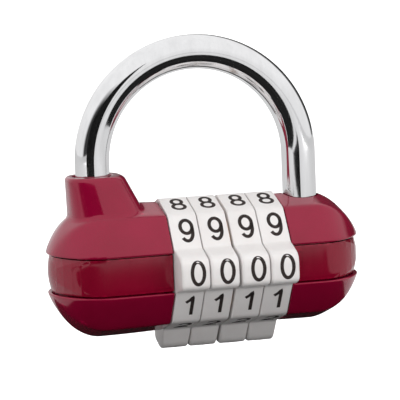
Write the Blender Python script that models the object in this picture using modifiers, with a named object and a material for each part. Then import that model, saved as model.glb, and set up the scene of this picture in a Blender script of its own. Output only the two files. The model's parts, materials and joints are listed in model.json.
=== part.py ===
"""Combination padlock with four side-by-side dials, a wide barrel casing and a round steel shackle.

Frame: the origin is at the inside crown of the shackle bow, where the lock hangs. +X runs along the
dial axis to the toe side, the front (the side with the code row) faces -Y, and +Z is up.
Lengths are given in millimetres times MM, so they are metres. Shapes are drawn around the dial axis,
which an empty carries.
"""
import math

import bmesh
import bpy
from mathutils import Matrix, Vector

MM = 0.001

# ---- driving dimensions ----
ROD_R = 3.25 * MM                 # shackle rod, 6.5 mm steel
BOW_R = 20.1 * MM                 # bow radius to the rod's centre line, half the leg spacing
AXIS_Z = -36.6 * MM               # height of the dial axis below the inside crown
STACK_X = 3.4 * MM                # middle of the dial stack, to the toe side of the bow's middle
RUN_GAP = 0.3 * MM                # clearance between pieces that fit together

DIAL_COUNT = 4
FACES = 10                        # digits 0 to 9 round each dial
FACE_ANGLE = 2 * math.pi / FACES
DIAL_APOTHEM = 12.0 * MM
DIAL_BORE_R = 8.6 * MM
STACK_HALF = 11.2 * MM            # half the length of the four dials
SMALL_GAP = 0.2 * MM              # between dials 1-2 and 3-4, and beside the casing
MIDDLE_GAP = 0.5 * MM             # between dials 2 and 3
DIAL_WIDTH = (2 * STACK_HALF - 2 * SMALL_GAP - MIDDLE_GAP) / DIAL_COUNT

LEVER_R = 17.2 * MM               # outer faces of the two finger levers
LEVER_FACES = (0, 7)              # digits 0 and 3, counted in faces upwards from the front

RIM_X = STACK_HALF + SMALL_GAP    # the casing halves start here
CASING_APOTHEM = 12.0 * MM
LEFT_BULGE = 0.3 * MM             # how much the barrel widens towards its shoulder
RIGHT_BULGE = 0.05 * MM
LEFT_SHOULDER = 23.6 * MM         # where the rounded ends begin, from the stack's middle
LEFT_TIP = 33.5 * MM
RIGHT_SHOULDER = 17.7 * MM
RIGHT_TIP = 28.0 * MM
END_POWER = 1.85                  # superellipse power of the rounded ends
COVER_WALL = 1.5 * MM
BAND_INSET = 0.8 * MM             # the mid band lies this far below the covers
UPPER_EDGE_Z = 3.5 * MM
LOWER_EDGE_Z = -3.8 * MM

TOWER_TOP_Z = 17.7 * MM
HEEL_X = -BOW_R - STACK_X         # shackle legs, from the stack's middle
TOE_X = BOW_R - STACK_X
BOW_CENTRE_Z = -AXIS_Z - BOW_R + ROD_R
HEEL_END_Z = -4.2 * MM
TOE_END_Z = 4.4 * MM
LEG_HOLE_R = ROD_R + 0.35 * MM

LIFT = 8.8 * MM                   # shackle travel, which frees the toe
SPINDLE_TRAVEL = 2.6 * MM         # spindle travel over the whole lift
CAM_SLOPE = SPINDLE_TRAVEL / LIFT

HEEL_PIN_Z = 7.0 * MM
HEEL_PIN_R = 0.8 * MM
NECK_R = 2.2 * MM

CORE_R = 3.7 * MM
CORE_BORE_R = 2.75 * MM
CORE_HALF = 14.6 * MM
SPINDLE_R = 2.4 * MM
FIN_R = 5.2 * MM
FIN_THICK = 0.8 * MM
FIN_HALF_WIDTH = 0.7 * MM
GATE_HALF_WIDTH = 0.95 * MM
SLEEVE_R = 8.25 * MM
SLEEVE_BORE_R = 5.6 * MM
SLEEVE_HALF = 2.3 * MM
FLANGE_R = 3.9 * MM
FLANGE_HALF = 0.5 * MM
WASHER_R = 6.5 * MM
WASHER_THICK = 0.4 * MM
END_WASHER_THICK = 0.2 * MM
SPACER_R = 11.3 * MM

BOLT_LOW_Z = 5.0 * MM
BOLT_HIGH_Z = 6.2 * MM
NOTCH_DEPTH = 0.95 * MM
TAIL_R = 1.0 * MM
SPINDLE_END = TOE_X + 3.6 * MM    # where the spindle steps down to its tail
PLATE_LOW_X = TOE_X + 3.9 * MM    # the latch bolt's plate
PLATE_HIGH_X = PLATE_LOW_X + 1.0 * MM
SPRING_END_X = PLATE_HIGH_X + 1.9 * MM

# the local x, y and z of an outline become front (-Y), up (+Z) and -X
SIDE_VIEW = Matrix(((0, 0, -1), (-1, 0, 0), (0, 1, 0))).to_4x4()
# the local z of a turned piece becomes +X
ALONG_X = Matrix(((0, 0, 1), (1, 0, 0), (0, 1, 0))).to_4x4()
# the local z of an outline in the X-Z plane becomes -Y, so its x and y are X and Z
FRONT_VIEW = Matrix(((1, 0, 0), (0, 0, -1), (0, 1, 0))).to_4x4()
UPRIGHT = Matrix.Identity(4)


# ---- scene set-up ----
for old in list(bpy.data.objects):
    bpy.data.objects.remove(old, do_unlink=True)

parts = bpy.data.collections.new("combination_padlock")
cutters = bpy.data.collections.new("cutters")
bpy.context.scene.collection.children.link(parts)
bpy.context.scene.collection.children.link(cutters)

axis_empty = bpy.data.objects.new("dial_axis", None)
axis_empty.location = (STACK_X, 0, AXIS_Z)
parts.objects.link(axis_empty)


def material(name, colour, roughness, metallic=0.0):
    """A Principled material of one colour."""
    made = bpy.data.materials.new(name)
    made.use_nodes = True
    shader = made.node_tree.nodes["Principled BSDF"]
    shader.inputs["Base Color"].default_value = (*colour, 1)
    shader.inputs["Roughness"].default_value = roughness
    shader.inputs["Metallic"].default_value = metallic
    return made


RED_LACQUER = material("red_lacquer", (0.28, 0.008, 0.03), 0.22)
RED_BAND = material("red_band", (0.24, 0.006, 0.025), 0.25)
DIAL_WHITE = material("dial_white", (0.80, 0.79, 0.77), 0.35)
CHROME = material("chrome", (0.82, 0.82, 0.83), 0.08, 1.0)
STEEL = material("steel", (0.55, 0.55, 0.56), 0.3, 1.0)
SPRING_STEEL = material("spring_steel", (0.42, 0.42, 0.44), 0.35, 1.0)
BRASS = material("brass", (0.70, 0.52, 0.22), 0.3, 1.0)
ACETAL = material("acetal", (0.75, 0.74, 0.70), 0.45)


# ---- shape helpers ----
def finish(obj, paint, turn=UPRIGHT, at=(0, 0, 0)):
    """Place a sub-part on the dial axis empty, and give it its material."""
    obj.matrix_basis = Matrix.Translation(Vector(at)) @ turn
    obj.parent = axis_empty
    obj.data.materials.clear()
    obj.data.materials.append(paint)
    parts.objects.link(obj)
    return obj


def guide(obj, turn=UPRIGHT, at=(0, 0, 0)):
    """Place a body that only cuts or joins another."""
    obj.matrix_basis = Matrix.Translation(Vector(at)) @ turn
    obj.parent = axis_empty
    obj.hide_render = True
    obj.display_type = "WIRE"
    cutters.objects.link(obj)
    return obj


def combine(obj, other, operation="DIFFERENCE"):
    """Cut, join or intersect with another body."""
    step = obj.modifiers.new(other.name, "BOOLEAN")
    step.operation = operation
    step.solver = "EXACT"
    step.object = other


def smooth(obj, degrees=35):
    """Smooth shading with crisp edges."""
    obj.data.shade_smooth()
    obj.data.set_sharp_from_angle(angle=math.radians(degrees))


def mesh_object(name, bm):
    """A new mesh object from a bmesh."""
    bmesh.ops.recalc_face_normals(bm, faces=bm.faces)
    mesh = bpy.data.meshes.new(name)
    bm.to_mesh(mesh)
    bm.free()
    return bpy.data.objects.new(name, mesh)


def block(name, low, high):
    """A box between two corners."""
    bm = bmesh.new()
    size = Vector(high) - Vector(low)
    middle = (Vector(high) + Vector(low)) / 2
    bmesh.ops.create_cube(bm, size=1, matrix=Matrix.Translation(middle) @ Matrix.Diagonal((*size, 1)))
    return mesh_object(name, bm)


def cylinder(name, radius, low, high, sides=24):
    """A round bar along its local z."""
    bm = bmesh.new()
    place = Matrix.Translation((0, 0, (low + high) / 2))
    bmesh.ops.create_cone(bm, cap_ends=True, segments=sides, radius1=radius, radius2=radius,
                          depth=high - low, matrix=place)
    return mesh_object(name, bm)


def turned(name, profile, steps=24, closed=True):
    """A profile of (radius, height) turned round the local z, listed down its outer side first."""
    mesh = bpy.data.meshes.new(name)
    points = [(radius, 0, height) for radius, height in profile]
    edges = [(i, i + 1) for i in range(len(points) - 1)]
    if closed:
        edges.append((len(points) - 1, 0))
    mesh.from_pydata(points, edges, [])
    obj = bpy.data.objects.new(name, mesh)
    screw = obj.modifiers.new("turn", "SCREW")
    screw.axis = "Z"
    screw.angle = 2 * math.pi
    screw.steps = steps
    screw.render_steps = steps
    screw.use_merge_vertices = True
    screw.merge_threshold = 0.00001
    screw.use_smooth_shade = True
    return obj


def ring_profile(outer, inner, low, high):
    """A plain tube's profile."""
    return [(outer, high), (outer, low), (inner, low), (inner, high)]


def extruded(name, outlines, thickness):
    """Flat outlines, the later ones holes, with a thickness along the local z, as a mesh."""
    curve = bpy.data.curves.new(name, "CURVE")
    curve.dimensions = "2D"
    curve.fill_mode = "BOTH"
    curve.extrude = thickness / 2
    for outline in outlines:
        spline = curve.splines.new("POLY")
        spline.points.add(len(outline) - 1)
        for point, (x, y) in zip(spline.points, outline):
            point.co = (x, y, 0, 1)
        spline.use_cyclic_u = True
    return as_mesh(name, curve)


def rod(name, path, radius, resolution):
    """A round rod along a path of points, with filled ends, as a mesh."""
    curve = bpy.data.curves.new(name, "CURVE")
    curve.dimensions = "3D"
    curve.bevel_depth = radius
    curve.bevel_resolution = resolution
    curve.use_fill_caps = True
    spline = curve.splines.new("POLY")
    spline.points.add(len(path) - 1)
    for point, place in zip(spline.points, path):
        point.co = (*place, 1)
    return as_mesh(name, curve)


def as_mesh(name, curve):
    """A curve's evaluated surface with its caps welded on."""
    carrier = bpy.data.objects.new(name + "_curve", curve)
    bpy.context.scene.collection.objects.link(carrier)
    bpy.context.view_layer.update()
    found = carrier.evaluated_get(bpy.context.evaluated_depsgraph_get())
    mesh = bpy.data.meshes.new_from_object(found)
    bpy.data.objects.remove(carrier, do_unlink=True)
    bm = bmesh.new()
    bm.from_mesh(mesh)
    bpy.data.meshes.remove(mesh)
    bmesh.ops.remove_doubles(bm, verts=bm.verts, dist=0.00001)
    return mesh_object(name, bm)


def loft(name, rings, tip=None):
    """A closed skin over rings of equally many points; a tip point closes the last one."""
    bm = bmesh.new()
    rows = [[bm.verts.new(point) for point in ring] for ring in rings]
    count = len(rows[0])
    for lower, upper in zip(rows, rows[1:]):
        for i in range(count):
            j = (i + 1) % count
            bm.faces.new((lower[i], lower[j], upper[j], upper[i]))
    bm.faces.new(rows[0])
    if tip is None:
        bm.faces.new(rows[-1])
    else:
        end = bm.verts.new(tip)
        for i in range(count):
            bm.faces.new((rows[-1][i], rows[-1][(i + 1) % count], end))
    return mesh_object(name, bm)


def circle(radius, sides=32):
    """Points round a circle."""
    return [(radius * math.cos(2 * math.pi * i / sides), radius * math.sin(2 * math.pi * i / sides))
            for i in range(sides)]


# ---- casing ----
CORNER_SPREAD = math.radians(4.5)
CORNER_R = 1.045                  # radius of a rounded corner's middle over the apothem
LOW_CORNER_R = 1.05               # the same for the crisper corners underneath
# the soft top of the upper covers: turn from the ridge, and radius over the apothem
DOME = ((-27.0, 1.019), (-18.0, 0.998), (-9.0, 0.994), (0.0, 1.003), (9.0, 0.994), (18.0, 0.998), (27.0, 1.019))
TOP_CORNER = 2


def decagon(apothem):
    """A decagon round the X axis with a face to the front, rounded corners and a soft top, as (y, z)."""
    flat = 1 / math.cos(FACE_ANGLE / 2 - CORNER_SPREAD)
    points = []
    for face in range(FACES):
        corner = (face + 0.5) * FACE_ANGLE
        middle = LOW_CORNER_R if math.sin(corner) < -0.5 else CORNER_R
        steps = [(-CORNER_SPREAD, flat), (0, middle), (CORNER_SPREAD, flat)]
        if face == TOP_CORNER:
            steps = [(math.radians(turn), radius) for turn, radius in DOME]
        elif face == TOP_CORNER - 1:
            steps = steps[:2]
        elif face == TOP_CORNER + 1:
            steps = steps[1:]
        for turn, radius in steps:
            angle = corner + turn
            points.append((-radius * apothem * math.cos(angle), radius * apothem * math.sin(angle)))
    return points


def casing_form(name, side, inset, past_rim=0.0):
    """One half's outer form: side -1 is the heel half, +1 the toe half; inset shrinks it."""
    shoulder = LEFT_SHOULDER if side < 0 else RIGHT_SHOULDER
    bulge = LEFT_BULGE if side < 0 else RIGHT_BULGE
    tip = (LEFT_TIP if side < 0 else RIGHT_TIP) - inset
    rings = []
    barrel_steps = 3
    for i in range(barrel_steps):
        share = i / barrel_steps
        apothem = CASING_APOTHEM + bulge * math.sin(share * math.pi / 2) - inset
        x = RIM_X + (shoulder - RIM_X) * share - (past_rim if i == 0 else 0)
        rings.append([(side * x, y, z) for y, z in decagon(apothem)])
    end_steps = 8
    for i in range(end_steps):
        turn = math.pi / 2 * i / end_steps
        reach = math.sin(turn) ** (2 / END_POWER)
        scale = math.cos(turn) ** (2 / END_POWER)
        apothem = (CASING_APOTHEM + bulge - inset) * scale
        x = shoulder + (tip - shoulder) * reach
        rings.append([(side * x, y, z) for y, z in decagon(apothem)])
    return loft(name, rings, tip=(side * tip, 0, 0))


def tower_form(name):
    """The raised collar round the heel leg, wider towards its foot."""
    foot_z = 9.4 * MM
    levels = ((0.0, 0.7), (0.05, 0.18), (0.13, 0.0), (0.45, 0.0), (1.0, 0.0))
    sides = 28
    rings = []
    for share, round_off in levels:
        z = TOWER_TOP_Z - (TOWER_TOP_Z - foot_z) * share
        left = (-28.6 + 0.3 * share) * MM + round_off * MM
        right = (-17.9 + 4.2 * share) * MM - round_off * MM
        half_depth = (5.3 + 2.3 * share) * MM - round_off * MM
        middle = (left + right) / 2
        half = (right - left) / 2
        ring = []
        for i in range(sides):
            angle = 2 * math.pi * i / sides
            c, s = math.cos(angle), math.sin(angle)
            x = math.copysign(abs(c) ** 0.72, c) * half + middle
            y = math.copysign(abs(s) ** 0.72, s) * half_depth
            ring.append((x, y, z))
        rings.append(ring)
    return loft(name, rings)


def cover(name, side, upper):
    """An upper or lower cover shell of one half."""
    obj = casing_form(name, side, 0.0)
    if side < 0 and upper:
        combine(obj, guide(tower_form("tower_guide")), "UNION")
    combine(obj, guide(casing_form(name + "_hollow", side, COVER_WALL, past_rim=1 * MM)))
    reach = 60 * MM
    if upper:
        edge = block(name + "_edge", (-reach, -reach, -reach), (reach, reach, UPPER_EDGE_Z))
    else:
        edge = block(name + "_edge", (-reach, -reach, LOWER_EDGE_Z), (reach, reach, reach))
    combine(obj, guide(edge))
    return obj


BOSS_R = 4.15 * MM
BOSS_TOP_Z = 16.2 * MM


def left_upper_cover():
    """The heel side's upper cover, with the tower and the leg hole."""
    obj = cover("left_upper_cover", -1, True)
    room = cylinder("tower_room", BOSS_R + RUN_GAP, 3 * MM, BOSS_TOP_Z + RUN_GAP)
    combine(obj, guide(room, at=(HEEL_X, 0, 0)))
    hole = cylinder("heel_hole", LEG_HOLE_R, 10 * MM, 20 * MM)
    combine(obj, guide(hole, at=(HEEL_X, 0, 0)))
    finish(obj, RED_LACQUER)


def right_upper_cover():
    """The toe side's upper cover, with the leg hole."""
    obj = cover("right_upper_cover", 1, True)
    hole = cylinder("toe_hole", LEG_HOLE_R, 5 * MM, 20 * MM)
    combine(obj, guide(hole, at=(TOE_X, 0, 0)))
    finish(obj, RED_LACQUER)


def frame_body(name, side):
    """A housing casting: a core under the covers, and the band that shows between them."""
    obj = casing_form(name, side, COVER_WALL + RUN_GAP)
    band = casing_form(name + "_band", side, BAND_INSET)
    slab = block(name + "_slab", (-60 * MM, -60 * MM, LOWER_EDGE_Z + RUN_GAP),
                 (60 * MM, 60 * MM, UPPER_EDGE_Z - RUN_GAP))
    combine(band, guide(slab), "INTERSECT")
    combine(obj, guide(band), "UNION")
    core_bore = cylinder(name + "_core_bore", CORE_R + RUN_GAP, RIM_X - 1 * MM, CORE_HALF + RUN_GAP)
    combine(obj, guide(core_bore, turn=ALONG_X if side > 0 else Matrix.Rotation(math.pi, 4, "Z") @ ALONG_X))
    screw_hole = cylinder(name + "_screw_hole", 1.3 * MM, -14 * MM, -3 * MM, sides=16)
    combine(obj, guide(screw_hole, at=(side * SCREW_X, 0, 0)))
    return obj


SCREW_X = 13.6 * MM
SEAT_TOP_Z = -8.9 * MM
SEAT_R = 3.4 * MM
SEAT_LOW_Z = -9.6 * MM


def left_frame():
    """The heel side's housing: heel bore, spring seat and pin hole."""
    obj = frame_body("left_frame", -1)
    boss = cylinder("heel_boss", BOSS_R, 2 * MM, BOSS_TOP_Z)
    combine(obj, guide(boss, at=(HEEL_X, 0, 0)), "UNION")
    bore = cylinder("heel_bore", LEG_HOLE_R, SEAT_TOP_Z - 1 * MM, 20 * MM)
    combine(obj, guide(bore, at=(HEEL_X, 0, 0)))
    seat = cylinder("seat_bore", SEAT_R + RUN_GAP, -14 * MM, SEAT_TOP_Z + RUN_GAP)
    combine(obj, guide(seat, at=(HEEL_X, 0, 0)))
    pin_hole = cylinder("heel_pin_hole", HEEL_PIN_R + RUN_GAP, -12 * MM, 12 * MM, sides=16)
    combine(obj, guide(pin_hole, turn=FRONT_VIEW, at=(HEEL_PIN_X, 0, HEEL_PIN_Z)))
    finish(obj, RED_BAND)


POCKET_FRONT = 1.9 * MM


def right_frame():
    """The toe side's housing: toe socket, spindle bore, and the pocket for the latch bolt."""
    obj = frame_body("right_frame", 1)
    spindle_bore = cylinder("spindle_bore", SPINDLE_R + RUN_GAP, 14 * MM, SPINDLE_END + SPINDLE_TRAVEL + RUN_GAP)
    combine(obj, guide(spindle_bore, turn=ALONG_X))
    socket = cylinder("toe_socket", LEG_HOLE_R, TOE_END_Z - RUN_GAP, 20 * MM)
    combine(obj, guide(socket, at=(TOE_X, 0, 0)))
    pocket = block("bolt_pocket", (TOE_X + 2.3 * MM, -POCKET_FRONT, -2.6 * MM),
                   (PLATE_HIGH_X + SPINDLE_TRAVEL + RUN_GAP, POCKET_FRONT, 14 * MM))
    combine(obj, guide(pocket))
    spring_bore = cylinder("spindle_spring_bore", SPINDLE_SPRING_R + 0.5 * MM, PLATE_HIGH_X,
                           SPRING_END_X + SPINDLE_TRAVEL + 0.4 * MM)
    combine(obj, guide(spring_bore, turn=ALONG_X))
    finish(obj, RED_BAND)


# ---- shackle and what holds it ----
HEEL_PIN_X = HEEL_X + NECK_R + 0.2 * MM + HEEL_PIN_R


def shackle():
    """The bent rod, with a long neck at the heel and a ramped notch at the toe."""
    path = [(HEEL_X, 0, HEEL_END_Z)]
    steps = 26
    for i in range(steps + 1):
        angle = math.pi * (1 - i / steps)
        path.append((-STACK_X + BOW_R * math.cos(angle), 0, BOW_CENTRE_Z + BOW_R * math.sin(angle)))
    path.append((TOE_X, 0, TOE_END_Z))
    obj = rod("shackle", path, ROD_R, 6)
    smooth(obj)
    low = HEEL_PIN_Z - LIFT - HEEL_PIN_R - 0.2 * MM
    high = HEEL_PIN_Z + HEEL_PIN_R + 0.3 * MM
    neck = turned("neck_cutter", ring_profile(ROD_R + 1 * MM, NECK_R, low, high))
    combine(obj, guide(neck, at=(HEEL_X, 0, 0)))
    floor = TOE_X + ROD_R - NOTCH_DEPTH
    far = TOE_X + ROD_R + 2 * MM
    ramp_top = BOLT_LOW_Z - 0.1 * MM
    ramp_foot = TOE_END_Z - 1 * MM
    outline = [(floor, BOLT_HIGH_Z + 0.2 * MM), (floor, ramp_top),
               (floor + CAM_SLOPE * (ramp_top - ramp_foot), ramp_foot),
               (far, ramp_foot), (far, BOLT_HIGH_Z + 0.2 * MM)]
    notch = extruded("notch_cutter", [outline], 10 * MM)
    combine(obj, guide(notch, turn=FRONT_VIEW))
    finish(obj, CHROME)


def helix(radius, low, high, turns, per_turn=11):
    """Points along a coil round the local z."""
    count = turns * per_turn
    return [(radius * math.cos(2 * math.pi * i / per_turn), radius * math.sin(2 * math.pi * i / per_turn),
             low + (high - low) * i / count) for i in range(count + 1)]


SPRING_WIRE_R = 0.35 * MM
SHACKLE_SPRING_R = 2.5 * MM
SPINDLE_SPRING_R = 1.2 * MM


def shackle_spring():
    """The compression spring under the heel."""
    low = SEAT_TOP_Z + SPRING_WIRE_R + 0.1 * MM
    high = HEEL_END_Z - SPRING_WIRE_R - 0.1 * MM
    obj = rod("shackle_spring", helix(SHACKLE_SPRING_R, low, high, 4), SPRING_WIRE_R, 1)
    smooth(obj, 60)
    finish(obj, SPRING_STEEL, at=(HEEL_X, 0, 0))


def spring_seat():
    """The plug that closes the heel bore from below, with a spigot inside the spring."""
    top = SEAT_TOP_Z - 0.1 * MM
    profile = [(0, top + 0.9 * MM), (1.6 * MM, top + 0.9 * MM), (1.6 * MM, top), (SEAT_R, top),
               (SEAT_R, SEAT_LOW_Z), (0, SEAT_LOW_Z)]
    finish(turned("spring_seat", profile, closed=False), STEEL, at=(HEEL_X, 0, 0))


def heel_pin():
    """The cross pin that stays in the heel's neck and keeps the shackle from pulling out."""
    obj = cylinder("heel_pin", HEEL_PIN_R, -6.4 * MM, 6.4 * MM, sides=16)
    smooth(obj)
    finish(obj, STEEL, turn=FRONT_VIEW, at=(HEEL_PIN_X, 0, HEEL_PIN_Z))


# ---- dials ----
def dial_centres():
    """The X of each dial's middle, from the heel side."""
    inner = (MIDDLE_GAP + DIAL_WIDTH) / 2
    outer = inner + DIAL_WIDTH + SMALL_GAP
    return [-outer, -inner, inner, outer]


def turned_points(points, angle):
    """(radius, along the rim) points about a direction, as (front, up)."""
    c, s = math.cos(angle), math.sin(angle)
    return [(r * c - t * s, r * s + t * c) for r, t in points]


def lever(face):
    """A broad finger lever over one face: a steep flank before its digit and a sloping one after it."""
    outer = LEVER_R
    points = [(DIAL_APOTHEM + 0.1 * MM, -3.7 * MM), (outer - 2.5 * MM, -3.3 * MM),
              (outer - 1.2 * MM, -2.9 * MM), (outer - 0.5 * MM, -2.5 * MM),
              (outer - 0.1 * MM, -1.9 * MM), (outer, -1.2 * MM), (outer, 1.2 * MM),
              (outer - 0.2 * MM, 2.1 * MM), (outer - 0.7 * MM, 2.8 * MM),
              (outer - 1.4 * MM, 3.2 * MM), (outer - 2.8 * MM, 3.6 * MM),
              (outer - 4.4 * MM, 3.95 * MM), (DIAL_APOTHEM - 0.2 * MM, 4.18 * MM)]
    return turned_points(points, face * FACE_ANGLE)


def dial_outline():
    """The decagon with its two levers; a lever's flanks stand on the corners of its face."""
    corner_r = DIAL_APOTHEM / math.cos(FACE_ANGLE / 2)
    points = []
    for face in range(FACES):
        if face in LEVER_FACES:
            points += lever(face)
        elif (face + 1) % FACES not in LEVER_FACES:
            angle = (face + 0.5) * FACE_ANGLE
            points.append((corner_r * math.cos(angle), corner_r * math.sin(angle)))
    return points


def dials():
    """Four number dials, each on its own centre."""
    for number, x in enumerate(dial_centres(), start=1):
        bore = list(reversed(circle(DIAL_BORE_R, 36)))
        obj = extruded(f"dial_{number}", [dial_outline(), bore], DIAL_WIDTH)
        finish(obj, DIAL_WHITE, turn=SIDE_VIEW, at=(x, 0, 0))


def gate_box(name):
    """The slot through a flange, washer or tube that the fins pass."""
    return block(name, (-1 * MM, -5.9 * MM, -GATE_HALF_WIDTH), (1 * MM, -3.0 * MM, GATE_HALF_WIDTH))


def code_sleeves():
    """The sleeve inside each dial, whose flange lets the spindle's fin through at one number."""
    for number, x in enumerate(dial_centres(), start=1):
        profile = [(SLEEVE_R, SLEEVE_HALF), (SLEEVE_R, -SLEEVE_HALF), (SLEEVE_BORE_R, -SLEEVE_HALF),
                   (SLEEVE_BORE_R, -FLANGE_HALF), (FLANGE_R, -FLANGE_HALF), (FLANGE_R, FLANGE_HALF),
                   (SLEEVE_BORE_R, FLANGE_HALF), (SLEEVE_BORE_R, SLEEVE_HALF)]
        obj = turned(f"code_sleeve_{number}", profile)
        gate = guide(gate_box(f"gate_{number}"), at=(x, 0, 0))
        combine(obj, gate)
        finish(obj, BRASS, turn=ALONG_X, at=(x, 0, 0))


def dial_washers():
    """Thin washers round the core, with a wide spacer disc between the two pairs of dials."""
    centres = dial_centres()
    between = [(a + b) / 2 for a, b in zip(centres, centres[1:])]
    end = (RIM_X + centres[-1] + SLEEVE_HALF) / 2
    places = [("dial_washer_1", -end, END_WASHER_THICK, WASHER_R),
              ("dial_washer_2", between[0], WASHER_THICK, WASHER_R),
              ("centre_spacer", between[1], END_WASHER_THICK, SPACER_R),
              ("dial_washer_3", between[2], WASHER_THICK, WASHER_R),
              ("dial_washer_4", end, END_WASHER_THICK, WASHER_R)]
    for name, x, thick, radius in places:
        obj = turned(name, ring_profile(radius, FLANGE_R + 0.1 * MM, -thick / 2, thick / 2))
        combine(obj, guide(gate_box(name + "_gate"), at=(x, 0, 0)))
        finish(obj, ACETAL, turn=ALONG_X, at=(x, 0, 0))


# ---- core and spindle ----
def core_tube():
    """The slotted tube that joins the two housings and carries the dials."""
    obj = turned("core_tube", ring_profile(CORE_R, CORE_BORE_R, -CORE_HALF, CORE_HALF))
    slot = block("core_slot", (-13.0 * MM, -5 * MM, -GATE_HALF_WIDTH),
                 (CORE_HALF + 1 * MM, -1 * MM, GATE_HALF_WIDTH))
    combine(obj, guide(slot))
    groove = block("spring_groove", (-11.6 * MM, 3.05 * MM, -1.5 * MM), (11.6 * MM, 5 * MM, 1.5 * MM))
    combine(obj, guide(groove))
    finish(obj, STEEL, turn=ALONG_X)


def detent_spring():
    """A leaf spring in the core tube's back groove, with one crest under each dial."""
    low, thick, crest = 3.15 * MM, 0.2 * MM, 0.3 * MM
    half = 11.2 * MM
    under = [(-half, low)]
    over = [(-half, low + thick)]
    for x in dial_centres():
        for shift, rise in ((-1.2 * MM, 0), (-0.3 * MM, crest), (0.3 * MM, crest), (1.2 * MM, 0)):
            under.append((x + shift, low + rise))
            over.append((x + shift, low + thick + rise))
    under.append((half, low))
    over.append((half, low + thick))
    obj = extruded("detent_spring", [under + over[::-1]], 2.0 * MM)
    finish(obj, SPRING_STEEL, turn=UPRIGHT)


def core_screws():
    """The grub screws that lock the core tube in each housing, from below."""
    for name, side in (("left_core_screw", -1), ("right_core_screw", 1)):
        obj = cylinder(name, 1.0 * MM, -8.0 * MM, -4.0 * MM, sides=16)
        socket = cylinder(name + "_socket", 0.5 * MM, -9.0 * MM, -6.8 * MM, sides=6)
        smooth(obj)
        combine(obj, guide(socket, at=(side * SCREW_X, 0, 0)))
        finish(obj, STEEL, at=(side * SCREW_X, 0, 0))


def spindle():
    """The sliding rod with one fin for each dial."""
    profile = [(0, PLATE_HIGH_X + 0.2 * MM), (TAIL_R, PLATE_HIGH_X + 0.2 * MM), (TAIL_R, SPINDLE_END),
               (SPINDLE_R, SPINDLE_END), (SPINDLE_R, -14.0 * MM), (0, -14.0 * MM)]
    obj = turned("spindle", profile, closed=False)
    for number, x in enumerate(dial_centres(), start=1):
        middle = x - SPINDLE_TRAVEL / 2
        fin = block(f"fin_{number}", (middle - FIN_THICK / 2, -FIN_R, -FIN_HALF_WIDTH),
                    (middle + FIN_THICK / 2, -1.5 * MM, FIN_HALF_WIDTH))
        combine(obj, guide(fin), "UNION")
    finish(obj, STEEL, turn=ALONG_X)


def latch_bolt():
    """The plate on the spindle's end, whose nose catches the toe's notch."""
    obj = block("latch_bolt", (PLATE_LOW_X, -1.6 * MM, -2.2 * MM), (PLATE_HIGH_X, 1.6 * MM, BOLT_HIGH_Z))
    nose_tip = TOE_X + ROD_R - NOTCH_DEPTH + 0.1 * MM
    nose = block("bolt_nose", (nose_tip, -1.6 * MM, BOLT_LOW_Z),
                 (PLATE_HIGH_X - 0.3 * MM, 1.6 * MM, BOLT_HIGH_Z - 0.05 * MM))
    combine(obj, guide(nose), "UNION")
    hole = cylinder("tail_hole", TAIL_R + 0.15 * MM, TOE_X, PLATE_HIGH_X + 1 * MM, sides=20)
    combine(obj, guide(hole, turn=ALONG_X))
    finish(obj, STEEL)


def spindle_spring():
    """The small spring that pushes the latch bolt into the notch."""
    low = PLATE_HIGH_X + 0.6 * MM
    obj = rod("spindle_spring", helix(SPINDLE_SPRING_R, low, SPRING_END_X, 2, per_turn=12), 0.2 * MM, 1)
    smooth(obj, 60)
    finish(obj, SPRING_STEEL, turn=ALONG_X)


# ---- assembly ----
left_frame()
left_upper_cover()
finish(cover("left_lower_cover", -1, False), RED_LACQUER)
right_frame()
right_upper_cover()
finish(cover("right_lower_cover", 1, False), RED_LACQUER)
shackle()
shackle_spring()
spring_seat()
heel_pin()
dials()
code_sleeves()
dial_washers()
core_tube()
detent_spring()
core_screws()
spindle()
latch_bolt()
spindle_spring()
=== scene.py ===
"""The looks of the combination padlock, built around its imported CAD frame.

The covers, bands, dials, digits and shackle are drawn afresh at a finer resolution than the CAD, and the
inner pieces keep their CAD shapes. Lengths are millimetres times MM. Most shapes are drawn round the dial
axis, with x from the middle of the dial stack.
"""
import json
import math

import bmesh
import bpy
from mathutils import Matrix, Vector


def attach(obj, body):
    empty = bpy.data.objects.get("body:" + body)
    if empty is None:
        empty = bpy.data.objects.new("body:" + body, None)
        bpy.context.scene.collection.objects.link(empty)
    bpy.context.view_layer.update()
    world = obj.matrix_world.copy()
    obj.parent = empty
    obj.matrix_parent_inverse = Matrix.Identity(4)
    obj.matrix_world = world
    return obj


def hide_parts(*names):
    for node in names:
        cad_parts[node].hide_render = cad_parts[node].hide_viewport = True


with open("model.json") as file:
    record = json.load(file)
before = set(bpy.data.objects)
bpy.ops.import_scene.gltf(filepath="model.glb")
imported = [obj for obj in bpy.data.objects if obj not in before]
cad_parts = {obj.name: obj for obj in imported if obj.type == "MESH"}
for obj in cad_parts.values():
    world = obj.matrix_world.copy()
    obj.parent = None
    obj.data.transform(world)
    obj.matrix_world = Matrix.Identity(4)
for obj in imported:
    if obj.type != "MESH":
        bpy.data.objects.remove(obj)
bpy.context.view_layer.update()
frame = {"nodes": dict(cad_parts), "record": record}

MM = 0.001

# ---- dimensions, as in the CAD ----
ROD_R = 3.25
BOW_R = 20.1
AXIS_Z = -36.6
STACK_X = 3.4
FACES = 10
FACE_ANGLE = 2 * math.pi / FACES
DIAL_APOTHEM = 12.0
DIAL_BORE_R = 8.6
STACK_HALF = 11.2
SMALL_GAP = 0.2
MIDDLE_GAP = 0.5
DIAL_WIDTH = (2 * STACK_HALF - 2 * SMALL_GAP - MIDDLE_GAP) / 4
LEVER_R = 17.2
LEVER_FACES = (0, 7)
RIM_X = STACK_HALF + SMALL_GAP
CASING_APOTHEM = 12.0
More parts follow.
